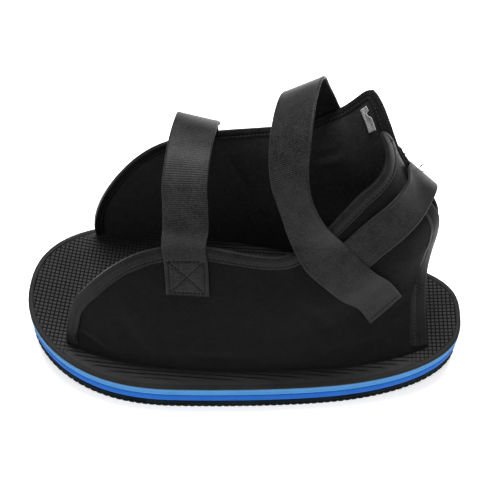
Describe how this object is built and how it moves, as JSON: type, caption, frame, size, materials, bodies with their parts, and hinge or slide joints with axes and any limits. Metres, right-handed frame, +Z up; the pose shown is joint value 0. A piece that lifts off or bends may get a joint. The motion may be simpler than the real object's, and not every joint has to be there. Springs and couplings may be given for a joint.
{
  "type": "post operative shoe",
  "caption": "Post operative cast shoe for either foot, with an open toe, a rocker foam sole, soft side walls that overlap behind the ankle, and hook and loop webbing straps.",
  "frame": {"origin": "on the floor under the middle of the sole, halfway along its length and across its width", "axes": "+X from toe to heel along the sole, +Y from the near side wall to the far side wall, +Z up from the floor"},
  "size_m": [0.29, 0.154, 0.1927],
  "materials": {
    "tread": "matt black moulded tread",
    "foam_mid_blue": "mid blue closed cell foam",
    "foam_light_blue": "light blue closed cell foam",
    "waffle_sheet": "charcoal sheet embossed with small square cells",
    "wall_fabric": "matt black brushed fabric over thin foam",
    "webbing": "dark grey ribbed webbing",
    "label": "light grey woven tab with no print"
  },
  "bodies": {
    "root": {"outsole": "tread", "midsole_lower": "foam_mid_blue", "midsole_upper": "foam_light_blue", "top_sheet": "waffle_sheet", "near_side_wall": "wall_fabric", "far_side_wall": "wall_fabric", "forefoot_strap": "webbing", "ankle_strap": "webbing", "heel_strap": "webbing", "label_tab": "label"}
  },
  "joints": []
}
